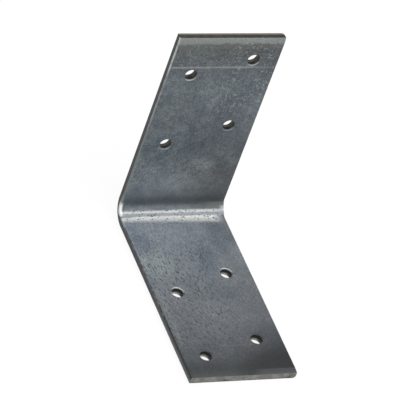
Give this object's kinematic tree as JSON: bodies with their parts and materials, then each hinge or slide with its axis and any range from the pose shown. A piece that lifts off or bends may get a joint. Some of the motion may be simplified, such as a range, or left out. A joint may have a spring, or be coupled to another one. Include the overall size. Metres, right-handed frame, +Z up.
{
  "type": "angle bracket",
  "caption": "Galvanised steel angle bracket folded to a right angle, with staggered nail holes in both legs, for joining timber framing.",
  "frame": {"origin": "middle of the base leg's outer face, which is the bottom of the whole part", "axes": "+Z up along the upright leg, +X along the base leg away from the fold, +Y across the strip"},
  "size_m": [0.079, 0.0383, 0.0789],
  "materials": {
    "galvanised_steel": "dull mottled zinc coating, weathered grey, with darker sheared edges"
  },
  "bodies": {
    "root": {"angle_bracket": "galvanised_steel"}
  },
  "joints": []
}
